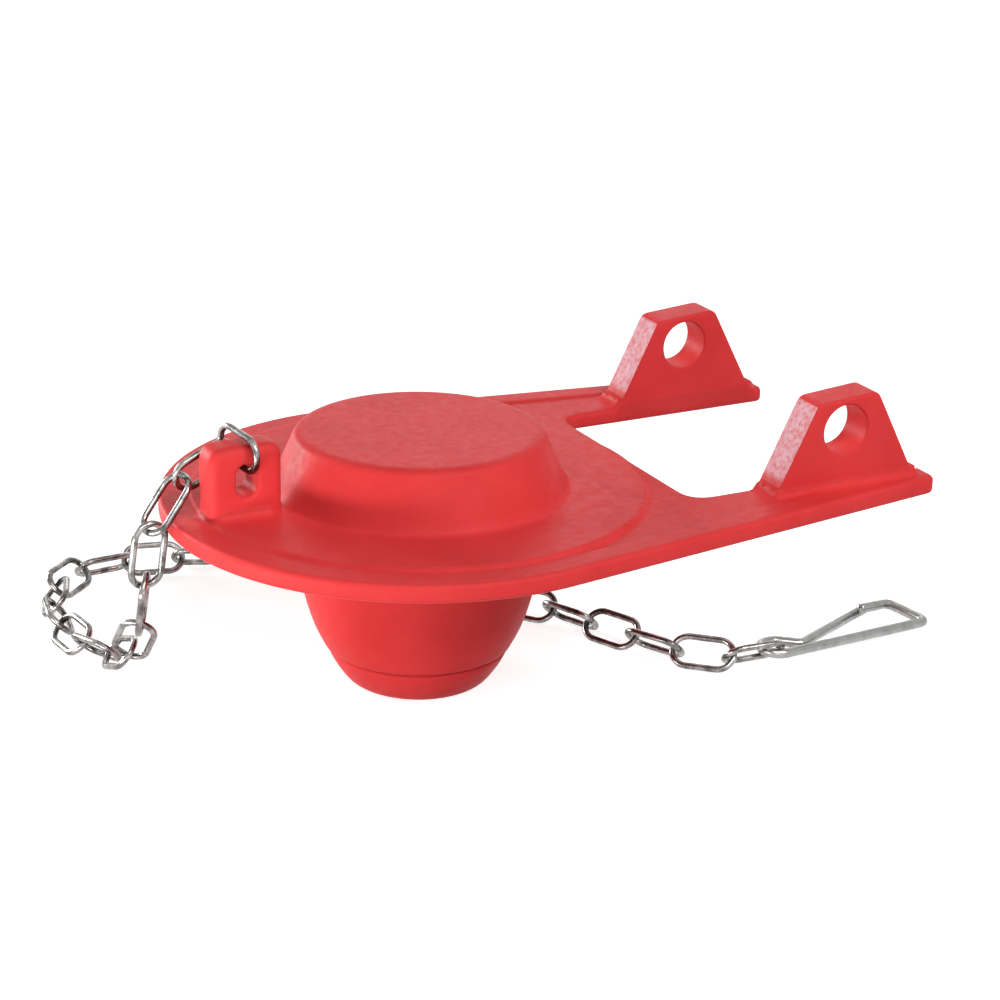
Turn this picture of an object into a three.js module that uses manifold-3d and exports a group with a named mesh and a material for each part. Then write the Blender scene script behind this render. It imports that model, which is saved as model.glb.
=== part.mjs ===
// Toilet flapper: one moulded rubber body (sealing disc, air bulb, dome, two arms with ears, chain tab),
// a loose steel chain and a bent wire clip.
// Units are millimetres, +Z is up. The origin is the middle of the hinge line, midway between the ears.
// +X runs from the hinge line to the bulb and the tab, Y runs along the hinge line.

import * as THREE from 'three';
import { mergeVertices } from 'three/addons/utils/BufferGeometryUtils.js';
import Module from 'manifold-3d';

const wasm = await Module();
wasm.setup();

// Sealing disc and bulb
const HINGE_TO_BULB = 63;      // hinge line to the axis of the disc, dome and bulb
const HINGE_RISE = 9.8;        // hinge line above the top of the disc's rim
const DISC_RADIUS = 42;
const PLATE_THICKNESS = 3.1;
const EDGE_ROUND = 0.45;       // rounding of the plate's edges
const BAND_WIDTH = 4.5;        // rim band along the outside of disc and arms
const WEB_DROP = 0.35;         // web of the arms below the rim band
const BOSS_RISE = 0.6;         // round boss above the rim band
const DOME_BASE_RADIUS = 24;
const DOME_TOP_RADIUS = 20.4;
const DOME_HEIGHT = 10;        // top of the dome above the rim band
const DOME_SHOULDER = 1.5;     // rounding of the dome's top edge
const BULB_RADIUS = 20.3;
const BULB_DEPTH = 29.8;       // foot of the bulb below the underside of the disc
const FOOT_RADIUS = 11.8;
const WALL = 2.4;              // rubber wall around the air chamber
const DRAIN_RADIUS = 5;        // hole in the foot of the bulb
const GROOVE_DEPTH = 0.35;     // ring groove near the foot
const ROUND_STEPS = 60;        // facets around the bulb and dome

// Arms and ears
const ARM_REACH = 17.2;        // arms end this far behind the hinge line
const ARM_END_HALF = 30.5;     // outer edge of an arm at its end, from the middle
const FORK_HALF = 22.2;        // inner edge of an arm from the middle
const NOTCH_TO_BULB = 38.2;    // cross edge of the fork from the bulb axis
const NOTCH_ROUND = 4;
const ARM_CORNER = 1.4;
const EAR_THICKNESS = 6.2;
const EAR_BASE_FRONT = 12.8;   // foot of the ear ahead of and behind the hinge line
const EAR_BASE_BACK = 14.2;
const EAR_TOP_FRONT = 5.5;
const EAR_TOP_BACK = 6;
const EAR_RISE_FRONT = 4.9;    // top corners of the ear above the hinge line
const EAR_RISE_BACK = 5.8;
const EAR_CORNER = 0.9;
const EAR_FILLET = 1.3;        // rounding where the ear's outer face meets the arm
const EAR_HOLE = 8.4;          // bore for the peg
const HOLE_BEVEL = 0.35;

// Chain tab
const TAB_FRONT = 37.2;        // ends of the tab from the bulb axis
const TAB_BACK = 25;
const TAB_THICKNESS = 5.8;
const TAB_RISE = 12.2;         // top of the tab above the rim band
const TAB_CORNER = 2.6;
const SLOT_TO_BULB = 31;
const SLOT_WIDTH = 3.6;
const SLOT_LOW = 3.9;          // slot's lower and upper ends above the rim band
const SLOT_HIGH = 9.3;

// Chain and clip
const LINK_LENGTH = 11.6;
const LINK_WIDTH = 6.4;
const LINK_WIRE = 1.1;
const PLAY = 0.45;             // free gap between one link's wire and the next
const CLIP_WIRE = 1.7;
const CLIP_LENGTH = 35;
const CLIP_EYE = 5.4;          // width of the clip's closed end
const CLIP_MOUTH = 9.6;        // width of the clip's open end
const CLIP_HOOK = 9.6;         // length of the hooked return
const CLIP_PINCH = 7.8;        // where the gate wire comes closest to the long leg, from the closed end
const CLIP_OVERLAP = 4;        // gate wire runs this far beside the hook
const CLIP_SLACK = 2.4;        // closed end behind the last link's place
const GROUND_GAP = 0.1;        // clip's far end above the surface
const TAB_LINK_TILT = THREE.MathUtils.degToRad(5);    // first link: tilt, swing, and where the next one hangs
const TAB_LINK_SWING = THREE.MathUtils.degToRad(10);
const TAB_LINK_EXIT = THREE.MathUtils.degToRad(58);
const TAB_LINK_PAST = 0.7;      // first link's middle past the middle of the tab, and above the mid height
const TAB_LINK_LIFT = 0.1;
const LYING_SLOPE = 0.5;       // a link less steep than this counts as lying
const MOST_TWIST = THREE.MathUtils.degToRad(12);      // twist from one link to the next
const RIM_LINKS = 2;           // links after the first that lie over the rim: upright, then flat
const RIM_TWIST = THREE.MathUtils.degToRad(20);
const HANG_TWISTS = [12, 35].map(THREE.MathUtils.degToRad);
const WIRE_SIDES = 8;
const BEND_STEPS = 6;
const PATH_STEPS = 6000;
const PLACED_ROUND = 42;       // the disc's radius that the chain's lying places are given for
const SWAY_PLACE = 9;          // first of the two places behind the bulb that are swayed to fit whole links
const MOST_SWAY = 6;
const SWAY_STEP = 0.5;

const PLATE_TOP = -HINGE_RISE;
const PLATE_BOTTOM = PLATE_TOP - PLATE_THICKNESS;
const FLOOR = PLATE_BOTTOM - BULB_DEPTH;
const BOSS_RADIUS = DISC_RADIUS - BAND_WIDTH;
const PITCH = LINK_LENGTH - 2 * LINK_WIRE - PLAY;

// Solids: conversion between three.js geometry and manifold

function toSolid(geometry) {
  geometry.deleteAttribute('normal');
  geometry.deleteAttribute('uv');
  const merged = mergeVertices(geometry, 1e-5);
  return new wasm.Manifold(new wasm.Mesh({
    numProp: 3,
    vertProperties: new Float32Array(merged.attributes.position.array),
    triVerts: new Uint32Array(merged.index.array),
  }));
}

function toGeometry(solid) {
  const mesh = solid.getMesh();
  const geometry = new THREE.BufferGeometry();
  geometry.setAttribute('position', new THREE.BufferAttribute(new Float32Array(mesh.vertProperties), 3));
  geometry.setIndex(new THREE.BufferAttribute(new Uint32Array(mesh.triVerts), 1));
  geometry.computeVertexNormals();
  return geometry;
}

// Prism of an XY outline between two heights
function prism(shape, low, high, bevel = 0) {
  const geometry = new THREE.ExtrudeGeometry(shape, {
    depth: high - low - 2 * bevel,
    curveSegments: 8,
    bevelEnabled: bevel > 0,
    bevelThickness: bevel,
    bevelSize: bevel,
    bevelOffset: -bevel,
    bevelSegments: 2,
  });
  geometry.translate(0, 0, low + bevel);
  return toSolid(geometry);
}

// Prism of an XZ outline between two places on Y
function sidePrism(shape, from, to) {
  const geometry = new THREE.ExtrudeGeometry(shape, { depth: to - from, curveSegments: 8, bevelEnabled: false });
  geometry.rotateX(Math.PI / 2);
  geometry.translate(0, to, 0);
  return toSolid(geometry);
}

// Solid of revolution about the bulb axis, profile given as radius and height
function turned(profile) {
  const points = profile.map(([r, z]) => new THREE.Vector2(r, z));
  const geometry = new THREE.LatheGeometry(points, ROUND_STEPS);
  geometry.rotateX(Math.PI / 2);
  geometry.translate(HINGE_TO_BULB, 0, 0);
  return toSolid(geometry);
}

// Outline with each corner rounded to its own radius; corners are [x, y, radius]
function roundedShape(corners) {
  const shape = new THREE.Shape();
  corners.forEach(([x, y, radius], i) => {
    const here = new THREE.Vector2(x, y);
    const before = new THREE.Vector2(...corners[(i + corners.length - 1) % corners.length]);
    const after = new THREE.Vector2(...corners[(i + 1) % corners.length]);
    const a = before.sub(here).setLength(radius || 0).add(here);
    const b = after.sub(here).setLength(radius || 0).add(here);
    if (i === 0) shape.moveTo(a.x, a.y);
    else shape.lineTo(a.x, a.y);
    if (radius) shape.quadraticCurveTo(x, y, b.x, b.y);
  });
  shape.closePath();
  return shape;
}

// Points where the straight outer edge of an arm leaves a circle about the bulb axis, and where it ends
function armEdge(radius, inset) {
  const end = new THREE.Vector2(-ARM_REACH - HINGE_TO_BULB, ARM_END_HALF);
  const reach = end.length();
  const turn = Math.acos(DISC_RADIUS / reach);
  const angle = Math.atan2(end.y, end.x) - turn;
  const normal = new THREE.Vector2(Math.cos(angle), Math.sin(angle));
  return {
    angle,
    leaves: new THREE.Vector2(HINGE_TO_BULB + radius * normal.x, radius * normal.y),
    ends: new THREE.Vector2(HINGE_TO_BULB + end.x - inset * normal.x, end.y - inset * normal.y),
  };
}

// Outline of disc and arms seen from above
function bodyOutline() {
  const edge = armEdge(DISC_RADIUS, 0);
  const back = -ARM_REACH;
  const notch = HINGE_TO_BULB - NOTCH_TO_BULB;
  const along = edge.ends.clone().sub(edge.leaves).setLength(ARM_CORNER);
  const shape = new THREE.Shape();
  shape.absarc(HINGE_TO_BULB, 0, DISC_RADIUS, -edge.angle, edge.angle, false);
  shape.lineTo(edge.ends.x - along.x, edge.ends.y - along.y);
  shape.quadraticCurveTo(back, edge.ends.y, back, edge.ends.y - ARM_CORNER);
  shape.lineTo(back, FORK_HALF + ARM_CORNER);
  shape.quadraticCurveTo(back, FORK_HALF, back + ARM_CORNER, FORK_HALF);
  shape.lineTo(notch - NOTCH_ROUND, FORK_HALF);
  shape.quadraticCurveTo(notch, FORK_HALF, notch, FORK_HALF - NOTCH_ROUND);
  shape.lineTo(notch, NOTCH_ROUND - FORK_HALF);
  shape.quadraticCurveTo(notch, -FORK_HALF, notch - NOTCH_ROUND, -FORK_HALF);
  shape.lineTo(back + ARM_CORNER, -FORK_HALF);
  shape.quadraticCurveTo(back, -FORK_HALF, back, -FORK_HALF - ARM_CORNER);
  shape.lineTo(back, ARM_CORNER - edge.ends.y);
  shape.quadraticCurveTo(back, -edge.ends.y, edge.ends.x - along.x, along.y - edge.ends.y);
  shape.closePath();
  return shape;
}

// Area inside the rim band, sunk by the web's drop
function webOutline() {
  const edge = armEdge(BOSS_RADIUS, BAND_WIDTH);
  const past = edge.ends.clone().sub(edge.leaves).setLength(BAND_WIDTH).add(edge.ends);
  const shape = new THREE.Shape();
  shape.absarc(HINGE_TO_BULB, 0, BOSS_RADIUS, -edge.angle, edge.angle, false);
  shape.lineTo(past.x, past.y);
  shape.lineTo(past.x, -past.y);
  shape.closePath();
  return shape;
}

function ear(side) {
  const root = PLATE_TOP - PLATE_THICKNESS / 2;
  const lean = (EAR_BASE_FRONT - EAR_TOP_FRONT) / (EAR_RISE_FRONT + HINGE_RISE);
  const leanBack = (EAR_BASE_BACK - EAR_TOP_BACK) / (EAR_RISE_BACK + HINGE_RISE);
  const foot = PLATE_THICKNESS / 2;
  const outline = roundedShape([
    [EAR_BASE_FRONT + lean * foot, root],
    [EAR_TOP_FRONT, EAR_RISE_FRONT, EAR_CORNER],
    [-EAR_TOP_BACK, EAR_RISE_BACK, EAR_CORNER],
    [-EAR_BASE_BACK - leanBack * foot, root],
  ]);
  const inner = FORK_HALF;
  const outer = FORK_HALF + EAR_THICKNESS;
  const from = side > 0 ? inner : -outer;
  const to = side > 0 ? outer : -inner;
  let solid = sidePrism(outline, from, to);

  const face = side * outer;
  const web = PLATE_TOP - WEB_DROP;
  const fillet = new THREE.Shape();
  fillet.moveTo(face - side, web - foot / 2);
  fillet.lineTo(face - side, web + EAR_FILLET);
  fillet.lineTo(face, web + EAR_FILLET);
  fillet.quadraticCurveTo(face, web, face + side * EAR_FILLET, web);
  fillet.lineTo(face + side * EAR_FILLET, web - foot / 2);
  fillet.closePath();
  const strip = new THREE.ExtrudeGeometry(fillet, {
    depth: EAR_BASE_FRONT + EAR_BASE_BACK - 2 * EAR_FILLET,
    curveSegments: 3,
    bevelEnabled: false,
  });
  strip.applyMatrix4(new THREE.Matrix4().makeBasis(
    new THREE.Vector3(0, 1, 0), new THREE.Vector3(0, 0, 1), new THREE.Vector3(1, 0, 0)));
  strip.translate(-EAR_BASE_BACK + EAR_FILLET, 0, 0);
  solid = solid.add(toSolid(strip));
  return solid;
}

// Bore through one ear with a small bevel on both faces
function earBore(side) {
  const radius = EAR_HOLE / 2;
  const half = EAR_THICKNESS / 2;
  const past = half + 1;
  const flare = radius + HOLE_BEVEL + 1;
  const profile = [
    [0, -past], [flare, -past], [radius, -half + HOLE_BEVEL], [radius, half - HOLE_BEVEL],
    [flare, past], [0, past],
  ].map(([r, z]) => new THREE.Vector2(r, z));
  const geometry = new THREE.LatheGeometry(profile, 32);
  geometry.translate(0, side * (FORK_HALF + half), 0);
  return toSolid(geometry);
}

function tab() {
  const front = HINGE_TO_BULB + TAB_FRONT;
  const back = HINGE_TO_BULB + TAB_BACK;
  const half = TAB_THICKNESS / 2;
  const root = PLATE_TOP - PLATE_THICKNESS / 2;
  const top = PLATE_TOP + TAB_RISE;
  const side = sidePrism(roundedShape([
    [back, root], [front, root], [front, top, TAB_CORNER], [back, top, TAB_CORNER],
  ]), -half, half);
  const plan = new THREE.Shape();
  plan.moveTo(back + half / 2, -half);
  plan.lineTo(front - half, -half);
  plan.absarc(front - half, 0, half, -Math.PI / 2, Math.PI / 2, false);
  plan.lineTo(back + half / 2, half);
  plan.quadraticCurveTo(back, half, back, half / 2);
  plan.lineTo(back, -half / 2);
  plan.quadraticCurveTo(back, -half, back + half / 2, -half);
  const slotMiddle = HINGE_TO_BULB + SLOT_TO_BULB;
  const r = SLOT_WIDTH / 2;
  const low = PLATE_TOP + SLOT_LOW + r;
  const high = PLATE_TOP + SLOT_HIGH - r;
  const slot = new THREE.Shape();
  slot.absarc(slotMiddle, high, r, 0, Math.PI, false);
  slot.absarc(slotMiddle, low, r, Math.PI, 2 * Math.PI, false);
  slot.closePath();
  return side.intersect(prism(plan, root - 1, top + 1)).subtract(sidePrism(slot, -half - 1, half + 1));
}

// Outer half section of dome and bulb, from the top of the dome down to the foot
function bulbProfile() {
  const boss = PLATE_TOP + BOSS_RISE;
  const top = PLATE_TOP + DOME_HEIGHT;
  const s = DOME_SHOULDER;
  const under = PLATE_BOTTOM;
  const depth = BULB_DEPTH;
  const grooveZ = under - 0.79 * depth;
  const grooveR = 0.745 * BULB_RADIUS;
  return [
    [0, top], [DOME_TOP_RADIUS - s, top], [DOME_TOP_RADIUS - 0.35 * s, top - 0.3 * s],
    [DOME_TOP_RADIUS + 0.1 * s, top - s], [DOME_BASE_RADIUS, boss + s], [DOME_BASE_RADIUS + 0.4 * s, boss + 0.4 * s],
    [DOME_BASE_RADIUS + s, boss], [DOME_BASE_RADIUS + s, under],
    [BULB_RADIUS + s, under], [BULB_RADIUS + 0.3 * s, under - 0.4 * s], [BULB_RADIUS, under - s],
    [0.99 * BULB_RADIUS, under - 0.2 * depth], [0.96 * BULB_RADIUS, under - 0.38 * depth],
    [0.906 * BULB_RADIUS, under - 0.54 * depth], [0.844 * BULB_RADIUS, under - 0.67 * depth],
    [grooveR + 0.2, grooveZ + 0.3], [grooveR - GROOVE_DEPTH, grooveZ + 0.25],
    [grooveR - GROOVE_DEPTH - 0.2, grooveZ - 0.25], [grooveR - 0.2, grooveZ - 0.3],
    [0.66 * BULB_RADIUS, under - 0.9 * depth], [FOOT_RADIUS, FLOOR + 0.9], [FOOT_RADIUS - 0.9, FLOOR], [0, FLOOR],
  ];
}

// Air chamber inside dome and bulb, with the drain hole through the foot
function chamberProfile() {
  const top = PLATE_TOP + DOME_HEIGHT - WALL;
  const boss = PLATE_TOP + BOSS_RISE;
  const under = PLATE_BOTTOM;
  const depth = BULB_DEPTH;
  return [
    [0, top], [DOME_TOP_RADIUS - WALL - 0.6, top], [DOME_TOP_RADIUS - WALL, top - 0.8],
    [DOME_BASE_RADIUS - WALL - 0.4, boss + 0.8], [BULB_RADIUS - WALL, boss - 1.5],
    [BULB_RADIUS - WALL, under - 0.2 * depth], [0.906 * BULB_RADIUS - WALL, under - 0.54 * depth],
    [0.844 * BULB_RADIUS - WALL, under - 0.67 * depth], [0.62 * BULB_RADIUS - WALL, FLOOR + WALL + 0.6],
    [0.58 * BULB_RADIUS - WALL, FLOOR + WALL], [DRAIN_RADIUS, FLOOR + WALL],
    [DRAIN_RADIUS, FLOOR - 1], [0, FLOOR - 1],
  ];
}

function flapperBody() {
  let body = prism(bodyOutline(), PLATE_BOTTOM, PLATE_TOP, EDGE_ROUND);
  body = body.subtract(prism(webOutline(), PLATE_TOP - WEB_DROP, PLATE_TOP + 1));
  const boss = turned([
    [0, PLATE_BOTTOM + 1], [BOSS_RADIUS, PLATE_BOTTOM + 1], [BOSS_RADIUS, PLATE_TOP + BOSS_RISE - 0.25],
    [BOSS_RADIUS - 0.25, PLATE_TOP + BOSS_RISE], [0, PLATE_TOP + BOSS_RISE],
  ]);
  body = body.add(boss);
  body = body.add(turned(bulbProfile().reverse()));
  body = body.add(tab());
  for (const side of [1, -1]) body = body.add(ear(side)).subtract(earBore(side));
  return body.subtract(turned(chamberProfile().reverse()));
}

// Round wire swept along points, closed into a ring or capped at both ends
function wire(points, radius, closed) {
  const count = points.length;
  const tangents = points.map((p, i) => {
    const next = closed ? points[(i + 1) % count] : points[Math.min(i + 1, count - 1)];
    const last = closed ? points[(i + count - 1) % count] : points[Math.max(i - 1, 0)];
    return next.clone().sub(last).normalize();
  });
  let normal = new THREE.Vector3(0, 0, 1);
  if (closed) {
    normal = points[0].clone().sub(points[2]).cross(points[4].clone().sub(points[2]));
  }
  const positions = [];
  const index = [];
  points.forEach((p, i) => {
    const side = normal.clone().addScaledVector(tangents[i], -normal.dot(tangents[i])).normalize();
    normal = side;
    const across = tangents[i].clone().cross(side);
    for (let k = 0; k < WIRE_SIDES; k++) {
      const a = 2 * Math.PI * (k + 0.5) / WIRE_SIDES;
      const q = p.clone().addScaledVector(side, radius * Math.cos(a)).addScaledVector(across, radius * Math.sin(a));
      positions.push(q.x, q.y, q.z);
    }
  });
  const quads = closed ? count : count - 1;
  for (let i = 0; i < quads; i++) {
    for (let k = 0; k < WIRE_SIDES; k++) {
      const a = i * WIRE_SIDES + k;
      const b = i * WIRE_SIDES + (k + 1) % WIRE_SIDES;
      const c = ((i + 1) % count) * WIRE_SIDES + k;
      const d = ((i + 1) % count) * WIRE_SIDES + (k + 1) % WIRE_SIDES;
      index.push(a, b, c, b, d, c);
    }
  }
  if (!closed) {
    const end = (count - 1) * WIRE_SIDES;
    for (let k = 1; k < WIRE_SIDES - 1; k++) {
      index.push(0, k + 1, k, end, end + k, end + k + 1);
    }
  }
  const geometry = new THREE.BufferGeometry();
  geometry.setAttribute('position', new THREE.BufferAttribute(new Float32Array(positions), 3));
  geometry.setIndex(index);
  geometry.computeVertexNormals();
  return geometry;
}

// Oval ring with its long axis along one direction and its width along another
function linkGeometry(middle, along, width) {
  const bend = (LINK_WIDTH - LINK_WIRE) / 2;
  const straight = (LINK_LENGTH - LINK_WIDTH) / 2;
  const points = [];
  for (const end of [1, -1]) {
    for (let i = 0; i <= BEND_STEPS; i++) {
      const a = Math.PI * (i / BEND_STEPS - 0.5);
      points.push(middle.clone()
        .addScaledVector(along, end * (straight + bend * Math.cos(a)))
        .addScaledVector(width, end * bend * Math.sin(a)));
    }
  }
  return wire(points, LINK_WIRE / 2, true);
}

// Path of the chain: over the rim and down to the surface, then round behind the bulb to the clip.
// Hanging places are outward from the disc's edge, across, and above the rim band.
const HANGING = [
  [-2.4, -4.8, 5.2], [1.6, -3.3, 1.3], [3.6, -2.6, -2.8], [4.0, -3.6, -11.6], [4.1, -5.8, -18.5],
  [4.2, -11.5, -25.3],
];
// Lying places are from the bulb axis toward the hinge line, across, and above the surface
const LYING = [
  [-46.2, -19.5, 4.4], [-47.8, -26.5, 3.2], [-49.2, -33.5, 2.8], [-48.2, -41.0, 2.6], [-46.2, -49.0, 2.5],
  [-42.4, -57.0, 2.5], [-35.5, -61.3, 2.5], [-27.0, -61.0, 2.5], [-18.0, -58.5, 2.5], [-3.0, -48.5, 2.5],
  [14.0, -30.0, 2.5], [28.5, -13.0, 2.5], [31.4, -7.0, 2.5], [33.6, -1.9, 2.5], [37.3, 6.9, 2.5],
  [41.2, 14.9, 2.5], [47.4, 21.0, 2.6], [56.4, 22.0, 2.8], [65.0, 21.0, 2.8],
];
// Where the last link ends, and the way the clip points, turned from the line of the bulb and hinge
const CLIP_AT = [56.4, 22.0, 2.8];
const CLIP_TURN = THREE.MathUtils.degToRad(8);

// Places in plan grow and shrink with the disc
function lyingPlace(u, v, z) {
  const spread = DISC_RADIUS / PLACED_ROUND;
  return new THREE.Vector3(HINGE_TO_BULB - u * spread, v * spread, FLOOR + z);
}

// Places where one link meets the next, a pitch apart, with the path behind the bulb swayed by some amount
function pivotsAlong(start, sway) {
  const points = [start];
  for (const [out, v, z] of HANGING) {
    points.push(new THREE.Vector3(HINGE_TO_BULB + DISC_RADIUS + out, v, PLATE_TOP + z));
  }
  LYING.forEach(([u, v, z], i) => {
    const side = i === SWAY_PLACE ? sway : i === SWAY_PLACE + 1 ? -sway : 0;
    points.push(lyingPlace(u + side, v - side, z));
  });
  const fine = new THREE.CatmullRomCurve3(points, false, 'centripetal').getPoints(PATH_STEPS);
  const pivots = [start];
  for (const p of fine) {
    if (p.distanceTo(pivots[pivots.length - 1]) >= PITCH) pivots.push(p);
  }
  return pivots;
}

// The sway is chosen so that a whole number of links ends at the clip
function chainPivots(start) {
  const clip = lyingPlace(...CLIP_AT);
  let best = [];
  let miss = Infinity;
  for (let sway = 0; sway <= MOST_SWAY; sway += SWAY_STEP) {
    const pivots = pivotsAlong(start, sway);
    pivots.forEach((p, i) => {
      if (p.distanceTo(clip) < miss) {
        miss = p.distanceTo(clip);
        best = pivots.slice(0, i + 1);
      }
    });
  }
  return best;
}

const rubber = () => new THREE.MeshStandardMaterial({ color: 0xc8352e, roughness: 0.45, metalness: 0 });
const steel = () => new THREE.MeshStandardMaterial({ color: 0xb9bcc0, roughness: 0.25, metalness: 1 });

const group = new THREE.Group();
group.name = 'toilet_flapper';

function addPiece(name, geometry, material) {
  const mesh = new THREE.Mesh(geometry, material);
  mesh.name = name;
  group.add(mesh);
}

addPiece('flapper_body', toGeometry(flapperBody()), rubber());

// The first link goes through the tab's slot and over its top
const swing = new THREE.Matrix4().makeRotationZ(TAB_LINK_SWING);
const firstAlong = new THREE.Vector3(0, -Math.cos(TAB_LINK_TILT), Math.sin(TAB_LINK_TILT)).applyMatrix4(swing);
const firstWidth = new THREE.Vector3(0, Math.sin(TAB_LINK_TILT), Math.cos(TAB_LINK_TILT)).applyMatrix4(swing);
const firstMiddle = new THREE.Vector3(
  HINGE_TO_BULB + SLOT_TO_BULB,
  -TAB_LINK_PAST,
  PLATE_TOP + (SLOT_HIGH + TAB_RISE) / 2 + TAB_LINK_LIFT,
);
// The second link hangs on the lower part of the first one's far bend
const bendRadius = (LINK_WIDTH - LINK_WIRE) / 2;
const hungAt = firstMiddle.clone()
  .addScaledVector(firstAlong, (LINK_LENGTH - LINK_WIDTH) / 2 + bendRadius * Math.cos(TAB_LINK_EXIT))
  .addScaledVector(firstWidth, -bendRadius * Math.sin(TAB_LINK_EXIT));
const bendTangent = firstAlong.clone().multiplyScalar(Math.sin(TAB_LINK_EXIT))
  .addScaledVector(firstWidth, Math.cos(TAB_LINK_EXIT));
const firstStop = new THREE.Vector3(
  HINGE_TO_BULB + DISC_RADIUS + HANGING[0][0], HANGING[0][1], PLATE_TOP + HANGING[0][2]);
const toward = firstStop.sub(hungAt).normalize();
const pivots = chainPivots(hungAt.clone().addScaledVector(toward, -(LINK_WIRE + PLAY) / 2));

// Each link's width stands square to the width of the one before. The link over the rim is then twisted
// toward flat, the hanging ones by set angles, and each lying link a little toward leaning at 45 degrees.
function turnToward(target, roll, period, most) {
  const turn = (target - roll) / period;
  return THREE.MathUtils.clamp((turn - Math.round(turn)) * period, -most, most);
}

const up = new THREE.Vector3(0, 0, 1);
const links = [[firstMiddle, firstAlong, firstWidth]];
let held = bendTangent;
for (let i = 1; i < pivots.length; i++) {
  const from = pivots[i - 1];
  const to = pivots[i];
  const along = to.clone().sub(from).normalize();
  const width = held.clone().cross(along).normalize();
  const flat = up.clone().cross(along).normalize();
  const roll = Math.atan2(width.dot(along.clone().cross(flat)), width.dot(flat));
  if (i <= RIM_LINKS) {
    width.applyAxisAngle(along, turnToward(i % 2 === 1 ? Math.PI / 2 : 0, roll, Math.PI, RIM_TWIST));
  } else if (i <= RIM_LINKS + HANG_TWISTS.length) {
    width.applyAxisAngle(along, HANG_TWISTS[i - RIM_LINKS - 1]);
  } else if (Math.abs(along.z) < LYING_SLOPE) {
    width.applyAxisAngle(along, turnToward(Math.PI / 4, roll, Math.PI / 2, MOST_TWIST));
  }
  links.push([from.clone().add(to).multiplyScalar(0.5), along, width]);
  held = width;
}
links.forEach(([middle, along, width], i) => {
  addPiece(`chain_link_${String(i + 1).padStart(2, '0')}`, linkGeometry(middle, along, width), steel());
});

// Wire path with its corners rounded
function roundedPath(corners, radius) {
  const points = [corners[0].clone()];
  for (let i = 1; i < corners.length - 1; i++) {
    const here = corners[i];
    const a = corners[i - 1].clone().sub(here).setLength(radius).add(here);
    const b = corners[i + 1].clone().sub(here).setLength(radius).add(here);
    const arc = new THREE.QuadraticBezierCurve3(a, here, b);
    points.push(...arc.getPoints(4));
  }
  points.push(corners[corners.length - 1].clone());
  return points;
}

// Spring clip: gate wire, closed end, long leg, end bar and a hook that lies over the gate
function clipGeometry(place) {
  const eye = CLIP_EYE / 2;
  const clear = CLIP_WIRE + PLAY;
  const corner = new THREE.Vector3(CLIP_LENGTH, CLIP_MOUTH - eye, 0);
  const pinch = new THREE.Vector3(CLIP_PINCH, clear - eye, 0);
  const back = pinch.clone().sub(corner).normalize();
  const hook = corner.clone().addScaledVector(back, CLIP_HOOK);
  const side = new THREE.Vector3(back.y, -back.x, 0);
  const gate = hook.clone().addScaledVector(back, -CLIP_OVERLAP).addScaledVector(side, clear * Math.SQRT1_2);
  const points = roundedPath([
    gate, pinch, new THREE.Vector3(eye * 1.6, eye, 0), new THREE.Vector3(eye, eye, 0),
  ], CLIP_WIRE / 2);
  for (let i = 1; i <= 2 * BEND_STEPS; i++) {
    const a = Math.PI * (0.5 + i / (2 * BEND_STEPS));
    points.push(new THREE.Vector3(eye + eye * Math.cos(a), eye * Math.sin(a), 0));
  }
  hook.z += clear * Math.SQRT1_2;
  points.push(...roundedPath([
    new THREE.Vector3(CLIP_LENGTH / 2, -eye, 0),
    new THREE.Vector3(CLIP_LENGTH, -eye, 0),
    corner,
    hook,
  ], CLIP_WIRE));
  const drop = Math.asin((CLIP_AT[2] - CLIP_WIRE / 2 - GROUND_GAP) / CLIP_LENGTH);
  const matrix = new THREE.Matrix4().makeTranslation(place)
    .multiply(new THREE.Matrix4().makeRotationZ(Math.PI + CLIP_TURN))
    .multiply(new THREE.Matrix4().makeRotationY(drop));
  return wire(points.map((p) => p.applyMatrix4(matrix)), CLIP_WIRE / 2, false);
}

const lastAlong = links[links.length - 1][1];
const clipPlace = pivots[pivots.length - 1].clone().addScaledVector(lastAlong, -CLIP_SLACK);
addPiece('wire_clip', clipGeometry(clipPlace), steel());

export default group;
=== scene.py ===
import math

import bmesh
import bpy
import numpy as np
from mathutils import Matrix, Vector
from mathutils.geometry import delaunay_2d_cdt


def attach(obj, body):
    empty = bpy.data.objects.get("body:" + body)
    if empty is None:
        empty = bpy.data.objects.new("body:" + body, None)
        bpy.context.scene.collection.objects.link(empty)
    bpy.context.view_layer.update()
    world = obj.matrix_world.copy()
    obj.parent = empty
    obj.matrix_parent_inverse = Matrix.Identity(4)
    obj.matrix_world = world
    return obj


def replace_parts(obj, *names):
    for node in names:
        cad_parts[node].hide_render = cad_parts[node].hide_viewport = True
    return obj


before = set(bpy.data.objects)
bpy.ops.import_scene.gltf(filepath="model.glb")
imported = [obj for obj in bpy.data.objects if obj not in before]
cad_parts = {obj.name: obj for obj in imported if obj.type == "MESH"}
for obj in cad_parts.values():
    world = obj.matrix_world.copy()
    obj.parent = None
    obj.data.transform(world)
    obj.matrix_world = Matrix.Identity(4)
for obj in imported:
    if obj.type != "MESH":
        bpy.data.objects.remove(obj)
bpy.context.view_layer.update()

# Sizes in millimetres, in the row frame. Those of the large shapes are the CAD part's
BULB_X = 63.0
BULB = np.array([BULB_X, 0.0])
PLATE_TOP = -9.8
PLATE_BOTTOM = -12.9
FLOOR = -42.7
DISC_RADIUS = 42.0
BODY_EDGE = 0.8            # rounding of the body's outer edge
BAND_WIDTH = 4.5           # raised band along the arms' outer edges
WEB_DROP = 0.35            # the web between the bands lies this much lower
WEB_SLOPE = 0.9
WEB_PAST = 6.0             # the web's outline runs on this far past the arms' ends
BOSS_RADIUS = 37.5
BOSS_RISE = 0.6
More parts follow.
